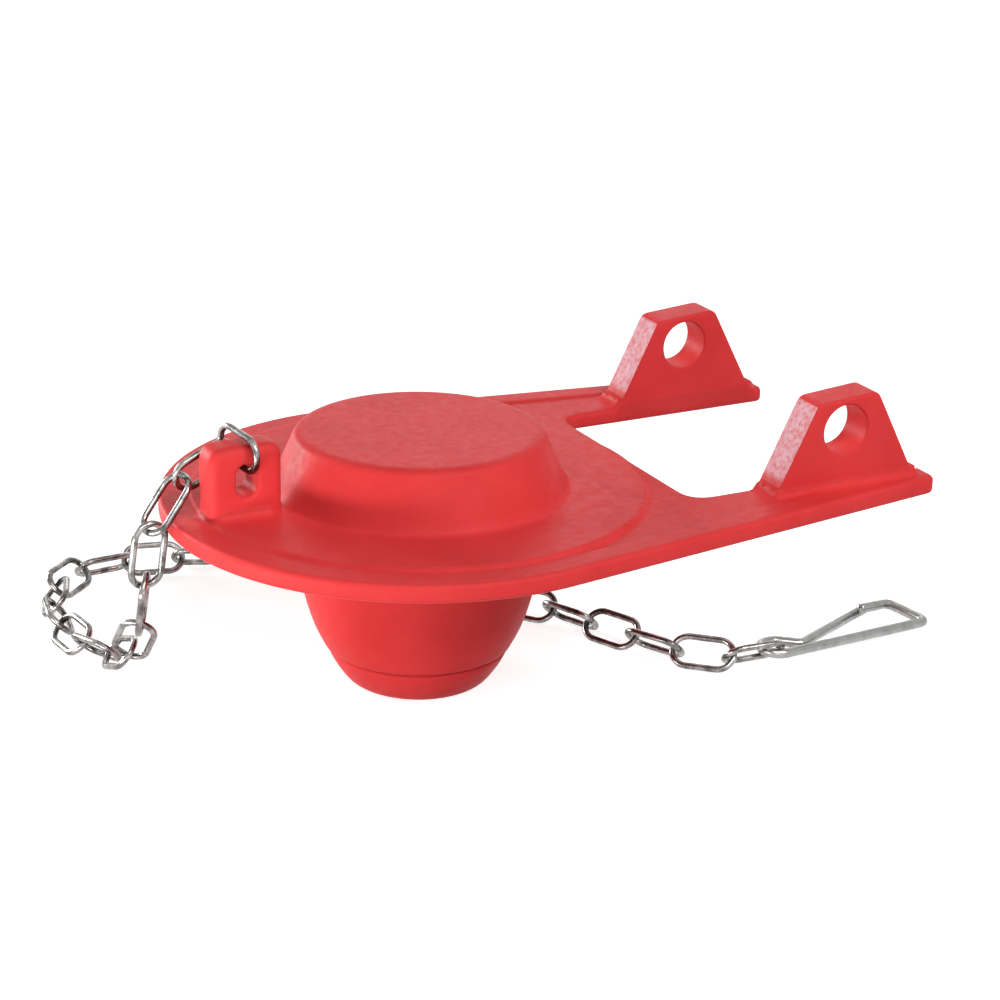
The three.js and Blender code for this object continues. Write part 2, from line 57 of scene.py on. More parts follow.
BOSS_SLOPE = 1.0
DOME_FOOT = 26.4
DOME_Z = 0.2
DRAIN_RADIUS = 5.0
ARM_REACH = 17.2
ARM_END = 30.5
ARM_CORNER = 1.4
FORK = 22.2
NOTCH_X = 24.8
NOTCH_ROUND = 4.0

# Ears, drawn in X and Z: from the plate's top they lean in to the two corners of their own top
EAR_OUT = 28.4
EAR_PROUD = 0.02           # the inner face stands this far out of the fork's side
EAR_BACK = -14.2
EAR_FRONT = 12.8
EAR_BACK_TOP = (-6.0, 5.8)
EAR_FRONT_TOP = (5.5, 4.9)
EAR_BACK_ROUND = 1.3
EAR_FRONT_ROUND = 1.1
EAR_BURIED = 0.7           # height of the ear's foot over the plate's underside
EAR_EDGE = 0.45
EAR_HOLE = 4.2
EAR_HOLE_EDGE = 0.3
EAR_FILLET = 1.6
FILLET_PAST = 8.0          # the ears' fillets leave out the fork's side, so their box runs on inward

# Tab for the chain, drawn in X and Z
TAB_HALF = 2.9
TAB_BACK = BULB_X + 25.0
TAB_FRONT = BULB_X + 37.2
TAB_TOP = 2.4
TAB_BACK_ROUND = 2.4
TAB_FRONT_ROUND = 2.9
TAB_FOOT_ROUND = 2.4       # corners buried in the disc
TAB_BURIED = 0.8
TAB_EDGE = 1.5
TAB_FILLET = 1.5
TAB_FILLET_CORNER = 2.4
SLOT_X = BULB_X + 31.0
SLOT_LOW = PLATE_TOP + 3.9
SLOT_HIGH = PLATE_TOP + 9.3
SLOT_RADIUS = 1.8
SLOT_EDGE = 0.6

# Back, front, low and high side, corner and fillet of what stands on the plate
FOOTPRINTS = [
    (EAR_BACK, EAR_FRONT, FORK - FILLET_PAST, EAR_OUT, 0.0, EAR_FILLET),
    (EAR_BACK, EAR_FRONT, -EAR_OUT, FILLET_PAST - FORK, 0.0, EAR_FILLET),
    (TAB_BACK, TAB_FRONT, -TAB_HALF, TAB_HALF, TAB_FILLET_CORNER, TAB_FILLET),
]

# Radius and height along the dome, from its middle to its foot
DOME_PROFILE = [
    (0.0, DOME_Z), (10.0, DOME_Z), (17.4, DOME_Z), (18.7, DOME_Z - 0.03), (19.45, DOME_Z - 0.2),
    (20.05, DOME_Z - 0.55), (20.45, DOME_Z - 1.1), (20.8, DOME_Z - 1.9), (22.2, DOME_Z - 5.0),
    (23.25, -7.4), (23.6, -8.15), (23.85, -8.6), (24.2, -8.95), (24.65, -9.13), (25.3, -9.2),
    (DOME_FOOT, -9.2),
]
# The same down the bulb's outside, in through the drain and up the hollow inside
UNDER_PROFILE = [
    (22.6, PLATE_BOTTOM), (21.6, -13.05), (20.9, -13.4), (20.45, -14.0), (20.3, -15.0), (20.1, -18.9),
    (19.5, -24.2), (18.4, -29.0), (17.15, -32.8), (15.65, -35.9), (15.4, -36.2), (14.8, -36.4),
    (14.5, -36.6), (14.75, -36.8), (14.9, -37.1), (14.1, -38.8), (13.1, -40.4), (12.3, -41.5),
    (11.6, -42.2), (10.9, -42.6), (10.2, FLOOR), (6.0, FLOOR), (5.4, FLOOR + 0.1), (5.05, FLOOR + 0.5),
    (DRAIN_RADIUS, -42.0), (DRAIN_RADIUS, -40.6), (5.3, -40.3), (9.6, -40.3), (10.3, -39.6),
    (14.7, -32.9), (16.0, -29.0), (17.6, -20.0), (17.9, -15.0), (17.9, -11.0), (18.9, -9.0),
    (18.0, -3.6), (17.2, -2.5), (16.5, -2.2), (8.0, -2.2), (0.0, -2.2),
]
BULB_TOP_RADIUS = UNDER_PROFILE[0][0]

# Wires. The clip is drawn flat, with its closed end at the start, and then laid in its place
LINK_WIRE = 0.55
LINK_LENGTH = 11.6
LINK_WIDTH = 6.4
CLIP_WIRE = 0.85
CLIP_LENGTH = 35.0
CLIP_EYE = 2.7             # radius of the closed end
CLIP_NECK = 1.6            # the gate leaves the closed end at this many radii
CLIP_CLEAR = 2.15          # between the middles of two wires that pass each other
CLIP_MOUTH = 9.6           # height of the end bar
CLIP_PINCH = 7.8           # where the gate comes nearest to the long leg
CLIP_HOOK = 9.6            # length of the hook
CLIP_OVERLAP = 4.0         # gate beside hook
CLIP_GATE_BEND = 0.85      # how far from its corner a bend starts
CLIP_LEG_BEND = 1.7
CLIP_DROP = 1.85           # the hook's end lies this much lower than the closed end
CLIP_TURN = 188.0
CLIP_END = (8.878, 21.755, -39.952)
END_RIM_SIZE = 0.8         # a wire's domed end, in parts of the wire's radius
END_RIM_RISE = 0.25
END_RISE = 0.3

# Fineness of the meshes, in millimetres where it is a distance
EDGE_ANGLES = [math.radians(a) for a in (0, 22.5, 45, 67.5, 90)]
TURN_STEPS = 256
DOME_STEPS = 3
UNDER_STEPS = 2
WIRE_SIDES = 16
OUTLINE_PITCH = 0.8
EAR_PITCH = 1.2
FILLET_PITCH = 0.7
TOP_PITCH = 0.9
TOP_SPAN = (-18.0, 106.0)
TOP_CLEAR = 0.25           # on the top, how far extra points stay from the rim
DOME_CLEAR = 0.3           # and from the dome's foot
UNDER_CLEAR = 1.0          # on the underside, from the rim and from the bulb
UNDER_PITCH = 3.0
UNDER_SPAN = (-16.0, 104.0)
BOSS_RINGS = (-0.35, 0.0, 0.3, 0.6, 0.9, 1.3)
WEB_RINGS = (0.0, 0.3, 0.6, 0.9)
FILLET_RINGS = (0.0, 0.04, 0.12, 0.25, 0.42, 0.65, 0.9, 1.1)
SLIVER = 2e-4              # twice the area below which a triangle counts as flat
MERGE = 1e-4               # points of an outline nearer than this are one
WELD = 2e-6                # in metres
TINY = 1e-12
FAR = 1e9

# Colours and finish
RUBBER_DARK = (0.59, 0.033, 0.034)
RUBBER_PALE = (0.67, 0.045, 0.047)
RUBBER_SPECULAR = 0.08     # low, because the white background shows in gloss
# Painted sheen: a pale colour laid on the ears' slopes that face the back-left lamp, standing in for its
# highlight
PAINTED_SHEEN_COLOUR = (0.74, 0.42, 0.47)
EAR_SLOPE = (0.896, 0.0, 0.445)
PAINTED_SHEEN_FRONT = 0.0145       # the painted sheen's limits in metres: along X, from the bores' axis, and in height
PAINTED_SHEEN_BORE = 0.0047
PAINTED_SHEEN_FOOT = -0.0080
PAINTED_SHEEN_FULL = -0.0066
CHAIN_ROUGH = 0.16
# The chain's colours are darker than real steel: painted dark reflections, in place of the dark
# surroundings that gloss does not see against the white background
CHAIN_DARK = (0.10, 0.095, 0.09)
CHAIN_PALE = (0.36, 0.35, 0.34)
CLIP_ROUGH = 0.22
# The clip's colours are likewise darker than real steel: painted dark reflections
CLIP_DARK = (0.25, 0.25, 0.245)
CLIP_PALE = (0.34, 0.34, 0.33)
DARK_ROUGHER = 0.12        # the steel's dark patches are this much rougher
WHITE = (1, 1, 1, 1)

# Floor, lamps and camera, in metres
FLOOR_HALF = 3.0
FLOOR_UNDER = 0.00005      # keeps the floor out of the plane of the bulb's foot
FLOOR_COLOUR = 0.6
FLOOR_GLOW = 0.8
GLOW_FROM = 0.25
GLOW_TO = 0.7
ROOM_LIGHT = 0.06
MIDDLE = (0.05, 0.0, -0.01)
UNDER = (0.063, 0.0, -0.030)
# Name, place, target, width and height, power
LAMPS = [
    ("front_high", (0.20, 0.42, 0.42), MIDDLE, (0.3, 0.3), 1.55),
    ("right_high", (-0.12, 0.41, 0.42), MIDDLE, (0.14, 0.3), 2.15),
    ("front_low", (0.20, 0.55, 0.02), MIDDLE, (0.3, 0.1), 0.25),
    ("left_under", (0.20, 0.03, -0.035), UNDER, (0.12, 0.010), 0.14),
    ("back_left", (0.38, -0.54, 0.09), MIDDLE, (0.35, 0.15), 3.9),
    ("back_right", (-0.22, -0.56, 0.23), MIDDLE, (0.4, 0.2), 0.45),
]
CAMERA_PLACE = (0.24007, 0.36240, 0.13918)
CAMERA_FORWARD = (-0.4382, -0.8277, -0.3507)
CAMERA_RIGHT = (-0.8838, 0.4679, 0.0)
CAMERA_ROLL = -1.24        # degrees
FOCAL_PIXELS = 2656.68
PICTURE_PIXELS = 1000
SENSOR_WIDTH = 36.0        # millimetres
CLIP_NEAR = 0.01
CLIP_FAR = 20.0


# Mesh building

class Builder:
    """Vertices and faces in millimetres, made into one welded mesh in metres."""

    def __init__(self):
        self.verts = []
        self.faces = []

    def add(self, points):
        """Take up points and return their numbers."""
        start = len(self.verts)
        self.verts.extend([tuple(map(float, p)) for p in points])
        return list(range(start, start + len(points)))

    def cover(self, points, faces):
        """Take up points, and faces that name them by their place in that list."""
        ids = self.add(points)
        self.faces.extend(tuple(ids[i] for i in face) for face in faces)

    def strip(self, a, b):
        """Four-sided faces between two closed rings."""
        n = len(a)
        for i in range(n):
            j = (i + 1) % n
            self.faces.append((a[i], a[j], b[j], b[i]))

    def fan(self, ring, centre):
        """Triangles between a closed ring and one point."""
        n = len(ring)
        for i in range(n):
            self.faces.append((ring[i], ring[(i + 1) % n], centre))

    def make(self, name):
        """The object, smooth shaded."""
        mesh = bpy.data.meshes.new(name)
        mesh.from_pydata([(x / 1000, y / 1000, z / 1000) for x, y, z in self.verts], [], self.faces)
        bm = bmesh.new()
        bm.from_mesh(mesh)
        bmesh.ops.remove_doubles(bm, verts=bm.verts, dist=WELD)
        bmesh.ops.recalc_face_normals(bm, faces=bm.faces)
        for f in bm.faces:
            f.smooth = True
        bm.to_mesh(mesh)
        bm.free()
        obj = bpy.data.objects.new(name, mesh)
        bpy.context.scene.collection.objects.link(obj)
        return obj


def smoothstep(t):
    """Smooth rise from 0 to 1 while t goes from 0 to 1."""
    t = np.clip(t, 0, 1)
    return t * t * (3 - 2 * t)


def towards(here, there, length):
    """The point at a length from here on the way there."""
    way = there - here
    return here + way / np.linalg.norm(way) * length


def turn_corner(start, corner, stop, steps=8):
    """Points of a smooth bend from start to stop that leans to the corner."""
    out = []
    for k in range(steps + 1):
        t = k / steps
        out.append((1 - t) ** 2 * start + 2 * t * (1 - t) * corner + t * t * stop)
    return out


def rounded(corners, steps=8):
    """Closed outline with each corner (x, y, radius) rounded."""
    out = []
    places = [np.array(corner[:2]) for corner in corners]
    for i, (_, _, radius) in enumerate(corners):
        here = places[i]
        if not radius:
            out.append(here)
            continue
        a = towards(here, places[i - 1], radius)
        b = towards(here, places[(i + 1) % len(places)], radius)
        out.extend(turn_corner(a, here, b, steps))
    return np.array(out)


def rounded_path(corners, radius):
    """Open path with each inner corner rounded."""
    p = np.array(corners, float)
    out = [p[0]]
    for before, here, after in zip(p, p[1:], p[2:]):
        a = towards(here, before, radius)
        b = towards(here, after, radius)
        out.extend(turn_corner(a, here, b))
    out.append(p[-1])
    return out


def dense(loop, pitch):
    """The same outline with points at most a pitch apart."""
    out = []
    for i in range(len(loop)):
        a = loop[i]
        b = loop[(i + 1) % len(loop)]
        count = max(1, int(math.ceil(np.linalg.norm(b - a) / pitch)))
        out.extend(a + (b - a) * k / count for k in range(count))
    return np.array(out)


def normals(v):
    """Unit vectors a quarter turn to the left of the given ones."""
    v = v / np.linalg.norm(v, axis=1, keepdims=True)
    return np.stack([-v[:, 1], v[:, 0]], axis=1)


def inset(loop, distance):
    """Outline moved inward, or outward if the distance is negative, for outlines that run anticlockwise."""
    before = normals(loop - np.roll(loop, 1, axis=0))
    after = normals(np.roll(loop, -1, axis=0) - loop)
    n = before + after
    n /= np.linalg.norm(n, axis=1, keepdims=True)
    lean = np.clip((n * after).sum(axis=1), 0.5, 1)
    return loop + n * (distance / lean)[:, None]


def circle(radius, steps, centre=(0.0, 0.0)):
    a = np.linspace(0, 2 * math.pi, steps, endpoint=False)
    return np.stack([centre[0] + radius * np.cos(a), centre[1] + radius * np.sin(a)], axis=1)


def distance_to(loop, points):
    """Distance from points to a closed outline, negative inside it."""
    best = np.full(len(points), FAR)
    inside = np.zeros(len(points), bool)
    for p, q in zip(loop, np.roll(loop, -1, axis=0)):
        d = q - p
        t = np.clip(((points - p) @ d) / max(d @ d, TINY), 0, 1)
        best = np.minimum(best, np.linalg.norm(points - p - t[:, None] * d, axis=1))
        crosses = (p[1] > points[:, 1]) != (q[1] > points[:, 1])
        if abs(d[1]) > TINY:
            inside ^= crosses & (points[:, 0] < p[0] + (points[:, 1] - p[1]) * d[0] / d[1])
    return np.where(inside, -best, best)


def box_distance(points, x0, x1, y0, y1, corner):
    """Distance from points to a box with rounded corners, negative inside it."""
    middle = [(x0 + x1) / 2, (y0 + y1) / 2]
    half = [(x1 - x0) / 2 - corner, (y1 - y0) / 2 - corner]
    q = np.abs(points - middle) - half
    return np.linalg.norm(np.maximum(q, 0), axis=1) + np.minimum(q.max(axis=1), 0) - corner


def doubled_area(corners):
    one = corners[:, 1] - corners[:, 0]
    two = corners[:, 2] - corners[:, 0]
    return np.abs(one[:, 0] * two[:, 1] - one[:, 1] * two[:, 0])


def fill(outer, holes, extra):
    """Triangles of the area inside an outline and outside its holes, with extra points inside it."""
    points = []
    edges = []
    for loop in [outer, *holes]:
        start = len(points)
        count = len(loop)
        points += [Vector(p) for p in loop]
        edges += [(start + i, start + (i + 1) % count) for i in range(count)]
    points += [Vector(p) for p in extra]
    verts, _, faces, *_ = delaunay_2d_cdt(points, edges, [], 0, MERGE)
    verts = np.array([tuple(v) for v in verts])
    faces = np.array([tuple(f) for f in faces])
    centres = verts[faces].mean(axis=1)
    keep = distance_to(outer, centres) < 0
    for hole in holes:
        keep &= distance_to(hole, centres) > 0
    thin = doubled_area(verts[faces]) < SLIVER
    kept = [tuple(f) for f in faces[keep & ~thin]]
    return verts, kept + inner_slivers(verts, kept, faces[thin])


def inner_slivers(verts, kept, slivers):
    """Flat triangles along a straight outline that the area needs: those whose longest side it uses."""
    def sides(face):
        return [frozenset(pair) for pair in zip(face, np.roll(face, 1))]

    def length(side):
        i, j = side
        return np.linalg.norm(verts[i] - verts[j])

    def longest(face):
        return max(sides(face), key=length)

    used = {side for face in kept for side in sides(face)}
    out = []
    for face in sorted(slivers, key=lambda f: -length(longest(f))):
        if longest(face) in used:
            out.append(tuple(face))
            used.update(sides(face))
    return out


def rounding(radius):
    """Steps over a rounded edge from side to flat: how far inward, and how far short of the flat."""
    return [(radius * (1 - math.cos(a)), radius * (1 - math.sin(a))) for a in EDGE_ANGLES]


def slab(builder, loop, holes, low, high, place, edge, hole_edge):
    """Plate with rounded edges, drawn in its own plane. The function place takes it to the row frame."""
    low_rims = []
    high_rims = []
    for line, radius, way in [(loop, edge, 1), *((hole, hole_edge, -1) for hole in holes)]:
        rings = [(inset(line, way * inward), low + short) for inward, short in rounding(radius)[::-1]]
        rings += [(inset(line, way * inward), high - short) for inward, short in rounding(radius)]
        ids = [builder.add([place(u, v, w) for u, v in ring]) for ring, w in rings]
        for a, b in zip(ids, ids[1:]):
            builder.strip(a, b)
        low_rims.append(rings[0][0])
        high_rims.append(rings[-1][0])
    for rims, w in ((low_rims, low), (high_rims, high)):
        verts, faces = fill(rims[0], rims[1:], [])
        builder.cover([place(u, v, w) for u, v in verts], faces)


def turn(builder, profile):
    """Surface of revolution about the bulb's axis."""
    rings = []
    for r, z in profile:
        if r == 0:
            rings.append(builder.add([(BULB_X, 0, z)])[0])
        else:
            rings.append(builder.add([(x, y, z) for x, y in circle(r, TURN_STEPS, BULB)]))
    for p, q in zip(rings, rings[1:]):
        if isinstance(p, int):
            builder.fan(q, p)
        elif isinstance(q, int):
            builder.fan(p, q)
        else:
            builder.strip(p, q)


def catmull(profile, steps):
    """The same profile with points added on a smooth curve through it."""
    p = np.array(profile)
    last = len(p) - 1
    out = []
    for i in range(last):
        p0, p1, p2, p3 = p[max(i - 1, 0)], p[i], p[i + 1], p[min(i + 2, last)]
        for k in range(steps):
            t = k / steps
            curve = 2 * p1 + (p2 - p0) * t
            curve = curve + (2 * p0 - 5 * p1 + 4 * p2 - p3) * t * t
            curve = curve + (3 * p1 - p0 - 3 * p2 + p3) * t ** 3
            out.append(0.5 * curve)
    out.append(p[-1])
    return [(max(0.0, float(r)), float(z)) for r, z in out]


# Moulded body

def from_bulb(points):
    return np.linalg.norm(points - BULB, axis=1)


def arm_edge(radius, offset):
    """Where an arm's outer edge leaves a circle round the bulb: angle and place, and the edge's end."""
    end = np.array([-ARM_REACH - BULB_X, ARM_END])
    angle = math.atan2(end[1], end[0]) - math.acos(DISC_RADIUS / np.linalg.norm(end))
    normal = np.array([math.cos(angle), math.sin(angle)])
    return angle, BULB + radius * normal, BULB + end - offset * normal


def arc(radius, angle, steps):
    """Arc round the bulb between minus an angle and the angle."""
    a = np.linspace(-angle, angle, steps)
    return np.stack([BULB_X + radius * np.cos(a), radius * np.sin(a)], axis=1)


def body_outline():
    """Disc and arms from above."""
    angle, leaves, ends = arm_edge(DISC_RADIUS, 0)
    back = -ARM_REACH
    corners = rounded([
        (leaves[0], leaves[1], 0),
        (ends[0], ends[1], ARM_CORNER),
        (back, FORK, ARM_CORNER),
        (NOTCH_X, FORK, NOTCH_ROUND),
        (NOTCH_X, -FORK, NOTCH_ROUND),
        (back, -FORK, ARM_CORNER),
        (ends[0], -ends[1], ARM_CORNER),
        (leaves[0], -leaves[1], 0)], steps=7)
    return np.concatenate([arc(DISC_RADIUS, angle, steps=240)[1:-1], corners])


def web_outline():
    """Inner edge of the raised band."""
    angle, leaves, ends = arm_edge(BOSS_RADIUS, BAND_WIDTH)
    past = ends + (ends - leaves) / np.linalg.norm(ends - leaves) * WEB_PAST
    return np.concatenate([arc(BOSS_RADIUS, angle, steps=160), [past, (past[0], -past[1])]])


WEB = web_outline()


def top_height(points):
    """Height of the plate's top: band, sunk web, raised boss, and fillets at the feet of ears and tab."""
    r = from_bulb(points)
    z = PLATE_TOP - WEB_DROP * smoothstep(-distance_to(WEB, points) / WEB_SLOPE)
    boss = smoothstep((BOSS_RADIUS - r) / BOSS_SLOPE)
    z = z * (1 - boss) + (PLATE_TOP + BOSS_RISE) * boss
    lift = np.zeros(len(points))
    for *box, radius in FOOTPRINTS:
        d = np.clip(box_distance(points, *box), 0, radius)
        lift = np.maximum(lift, radius - np.sqrt(np.maximum(radius ** 2 - (radius - d) ** 2, 0)))
    return z + lift * smoothstep(r - DOME_FOOT)


def fillet_points():
    """Points round the feet of ears and tab, closer where a fillet is steep."""
    out = []
    for x0, x1, y0, y1, corner, radius in FOOTPRINTS:
        for part in FILLET_RINGS:
            d = part * radius
            r = corner + d
            box = [(x0 - d, y0 - d, r), (x1 + d, y0 - d, r), (x1 + d, y1 + d, r), (x0 - d, y1 + d, r)]
            out.append(dense(rounded(box, steps=6), FILLET_PITCH))
    return np.concatenate(out)


def grid(span, pitch):
    """Points in rows over the whole plate."""
    xs = np.arange(*span, pitch)
    ys = np.arange(-DISC_RADIUS, DISC_RADIUS + 0.1, pitch)
    return np.stack(np.meshgrid(xs, ys), axis=-1).reshape(-1, 2)


def body_rim(b):
    """Rounded outer edge, from the underside to the top. Returns the outlines of both flats."""
    outline = dense(body_outline(), OUTLINE_PITCH)
    rings = []
    for inward, short in rounding(BODY_EDGE)[::-1]:
        ring = inset(outline, inward)
        rings.append((ring, np.full(len(ring), PLATE_BOTTOM + short)))
    for inward, short in rounding(BODY_EDGE):
        ring = inset(outline, inward)
        rings.append((ring, top_height(ring) - short))
    ids = [b.add(np.column_stack([ring, height])) for ring, height in rings]
    for p, q in zip(ids, ids[1:]):
        b.strip(p, q)
    return rings[0][0], rings[-1][0]


def body_top(b, rim):
    """The plate's top between its rim and the dome's foot."""
    extra = [grid(TOP_SPAN, TOP_PITCH)]
    extra += [circle(BOSS_RADIUS - d, 300, BULB) for d in BOSS_RINGS]
    extra += [inset(dense(WEB, OUTLINE_PITCH), d) for d in WEB_RINGS]
    extra.append(fillet_points())
    extra = np.concatenate(extra)
    clear = (distance_to(rim, extra) < -TOP_CLEAR) & (from_bulb(extra) > DOME_FOOT + DOME_CLEAR)
    verts, faces = fill(rim, [circle(DOME_FOOT, TURN_STEPS, BULB)], extra[clear])
    b.cover(np.column_stack([verts, top_height(verts)]), faces)


def body_underside(b, rim):
    """The plate's flat underside between its rim and the bulb."""
    extra = grid(UNDER_SPAN, UNDER_PITCH)
    clear = (distance_to(rim, extra) < -UNDER_CLEAR) & (from_bulb(extra) > BULB_TOP_RADIUS + UNDER_CLEAR)
    verts, faces = fill(rim, [circle(BULB_TOP_RADIUS, TURN_STEPS, BULB)], extra[clear])
    b.cover(np.column_stack([verts, np.full(len(verts), PLATE_BOTTOM)]), faces)


def moulded_body():
    """Disc, arms, dome and hollow bulb in one closed surface."""
    b = Builder()
    low_rim, high_rim = body_rim(b)
    body_top(b, high_rim)
    body_underside(b, low_rim)
    turn(b, catmull(DOME_PROFILE, DOME_STEPS))
    turn(b, catmull(UNDER_PROFILE, UNDER_STEPS))
    return b.make("moulded_body")


def ear(name, side):
    """One ear with its bore, on the side of positive Y (1) or of negative Y (-1)."""
    foot = PLATE_BOTTOM + EAR_BURIED
    down = PLATE_TOP - foot
    lean_front = (EAR_FRONT - EAR_FRONT_TOP[0]) / (EAR_FRONT_TOP[1] - PLATE_TOP)
    lean_back = (EAR_BACK_TOP[0] - EAR_BACK) / (EAR_BACK_TOP[1] - PLATE_TOP)
    outline = rounded([
        (EAR_BACK - lean_back * down, foot, 0),
        (EAR_FRONT + lean_front * down, foot, 0),
        (*EAR_FRONT_TOP, EAR_FRONT_ROUND),
        (*EAR_BACK_TOP, EAR_BACK_ROUND)])
    b = Builder()
    slab(b, dense(outline, EAR_PITCH), [circle(EAR_HOLE, 56)], FORK - EAR_PROUD, EAR_OUT,
         lambda u, v, w: (u, side * w, v), EAR_EDGE, EAR_HOLE_EDGE)
    return b.make(name)


def slot_outline():
    """Upright slot: two half rounds joined by straights."""
    out = []
    for z, start in ((SLOT_HIGH - SLOT_RADIUS, 0), (SLOT_LOW + SLOT_RADIUS, math.pi)):
        for a in np.linspace(start, start + math.pi, 20):
            out.append((SLOT_X + SLOT_RADIUS * math.cos(a), z + SLOT_RADIUS * math.sin(a)))
    return np.array(out)


def tab():
    """Tab that holds the chain."""
    root = PLATE_BOTTOM + TAB_BURIED
    outline = rounded([
        (TAB_BACK, root, TAB_FOOT_ROUND),
        (TAB_FRONT, root, TAB_FOOT_ROUND),
        (TAB_FRONT, TAB_TOP, TAB_FRONT_ROUND),
        (TAB_BACK, TAB_TOP, TAB_BACK_ROUND)], steps=10)
    b = Builder()
    slab(b, dense(outline, OUTLINE_PITCH), [slot_outline()], -TAB_HALF, TAB_HALF,
         lambda u, v, w: (u, -w, v), TAB_EDGE, SLOT_EDGE)
    return b.make("tab")


def join(objs, name):
    """One object made of several."""
    bpy.ops.object.select_all(action="DESELECT")
    for obj in objs:
        obj.select_set(True)
    bpy.context.view_layer.objects.active = objs[0]
    bpy.ops.object.join()
    joined = bpy.context.view_layer.objects.active
    joined.name = name
    return joined


def flapper():
    """The whole moulding, shaded flat on its large faces and round on its small roundings."""
    obj = join([moulded_body(), ear("ear_near", 1), ear("ear_far", -1), tab()], "moulded_flapper")
    weighted = obj.modifiers.new("normals", "WEIGHTED_NORMAL")
    weighted.keep_sharp = False
    return obj


# Wires

def wire_end(b, ring, middle, outward):
    """Slightly domed end of a wire. The vector outward is as long as the wire's radius."""
    points = np.array([b.verts[i] for i in ring])
    rim = b.add(middle + outward * END_RIM_RISE + (points - middle) * END_RIM_SIZE)
    b.strip(ring, rim)
    b.fan(rim, b.add([middle + outward * END_RISE])[0])


def sweep(name, path, radius, closed):
    """Round wire along a path of points."""
    p = np.array(path)
    n = len(p)
    if closed:
        along = np.roll(p, -1, axis=0) - np.roll(p, 1, axis=0)
        normal = np.cross(p[n // 4] - p[0], p[n // 2] - p[0])
    else:
        along = np.gradient(p, axis=0)
        normal = np.array([0.0, 0.0, 1.0])
    along /= np.linalg.norm(along, axis=1, keepdims=True)
    normal = normal / np.linalg.norm(normal)
    a = np.linspace(0, 2 * math.pi, WIRE_SIDES, endpoint=False)
    b = Builder()
    rings = []
    for i in range(n):
        side = normal - along[i] * (normal @ along[i])
        side /= np.linalg.norm(side)
        if not closed:
            normal = side
        across = np.cross(along[i], side)
        spokes = np.cos(a)[:, None] * side + np.sin(a)[:, None] * across
        rings.append(b.add(p[i] + radius * spokes))
    for i in range(n if closed else n - 1):
        b.strip(rings[i], rings[(i + 1) % n])
    if not closed:
        wire_end(b, rings[0], p[0], -along[0] * radius)
        wire_end(b, rings[-1], p[-1], along[-1] * radius)
    return b.make(name)


def link_axes(name):
    """Middle, long axis and width axis of a link, from the shape of its CAD ring."""
    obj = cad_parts[name]
    p = np.array([tuple(obj.matrix_world @ v.co) for v in obj.data.vertices]) * 1000
    middle = p.mean(axis=0)
    _, _, axes = np.linalg.svd(p - middle, full_matrices=False)
    return middle, axes[0], axes[1]


def link_path(name):
    """Middle of a link's wire: two half rounds joined by straights."""
    middle, long, wide = link_axes(name)
    bend = (LINK_WIDTH - 2 * LINK_WIRE) / 2
    straight = (LINK_LENGTH - LINK_WIDTH) / 2
    path = []
    for end in (1, -1):
        for a in np.linspace(-math.pi / 2, math.pi / 2, 17):
            out = long * end * (straight + bend * math.cos(a))
            path.append(middle + out + wide * end * bend * math.sin(a))
    return path


def flat_clip():
    """Middle of the clip's wire before it is laid: gate, pinch, closed end, long leg, end bar and hook."""
    corner = np.array([CLIP_LENGTH, CLIP_MOUTH - CLIP_EYE, 0.0])
    pinch = np.array([CLIP_PINCH, CLIP_CLEAR - CLIP_EYE, 0.0])
    back = (pinch - corner) / np.linalg.norm(pinch - corner)
    side = np.array([back[1], -back[0], 0.0])
    passing = CLIP_CLEAR * math.sqrt(0.5)
    hook = corner + back * CLIP_HOOK
    gate = hook - back * CLIP_OVERLAP + side * passing
    raised_hook = hook + np.array([0.0, 0.0, passing])
    neck = (CLIP_EYE * CLIP_NECK, CLIP_EYE, 0)
    path = rounded_path([gate, pinch, neck, (CLIP_EYE, CLIP_EYE, 0)], CLIP_GATE_BEND)
    for a in np.linspace(math.pi / 2, 1.5 * math.pi, 25)[1:]:
        path.append((CLIP_EYE + CLIP_EYE * math.cos(a), CLIP_EYE * math.sin(a), 0))
    leg = [(CLIP_LENGTH / 2, -CLIP_EYE, 0), (CLIP_LENGTH, -CLIP_EYE, 0)]
    return path + rounded_path([*leg, corner, raised_hook], CLIP_LEG_BEND)


def clip_path():
    """The same, tipped and turned to where the CAD clip lies."""
    drop = math.asin(CLIP_DROP / CLIP_LENGTH)
    turned = math.radians(CLIP_TURN)
    out = []
    for x, y, z in flat_clip():
        along = x * math.cos(drop) + z * math.sin(drop)
        up = z * math.cos(drop) - x * math.sin(drop)
        x = along * math.cos(turned) - y * math.sin(turned)
        y = along * math.sin(turned) + y * math.cos(turned)
        out.append((CLIP_END[0] + x, CLIP_END[1] + y, CLIP_END[2] + up))
    return out


# Shader nodes

def node(tree, kind, **values):
    """New node with its inputs and settings."""
    n = tree.nodes.new(kind)
    for key, value in values.items():
        if key in n.inputs:
            n.inputs[key].default_value = value
        else:
            setattr(n, key, value)
    return n


def set_inputs(n, values):
    for key, value in values.items():
        n.inputs[key].default_value = value


def grey(value):
    return (value, value, value)


def noise(tree, place, scale, detail, roughness=0.5):
    n = node(tree, "ShaderNodeTexNoise", Scale=scale, Detail=detail, Roughness=roughness)
    tree.links.new(place, n.inputs["Vector"])
    return n.outputs["Fac"]


def ramp(tree, source, stops):
    """Colour that follows a value through stops of value and colour."""
    n = node(tree, "ShaderNodeValToRGB")
    while len(n.color_ramp.elements) < len(stops):
        n.color_ramp.elements.new(0.5)
    for element, (at, colour) in zip(n.color_ramp.elements, stops):
        element.position = at
        element.color = (*colour, 1)
    tree.links.new(source, n.inputs[0])
    return n.outputs[0]


def ease(tree, source, start, stop, low=0.0, high=1.0):
    """Smooth rise from low to high while the source goes from start to stop."""
    n = node(tree, "ShaderNodeMapRange", interpolation_type="SMOOTHSTEP")
    set_inputs(n, {"From Min": start, "From Max": stop, "To Min": low, "To Max": high})
    tree.links.new(source, n.inputs["Value"])
    return n.outputs["Result"]


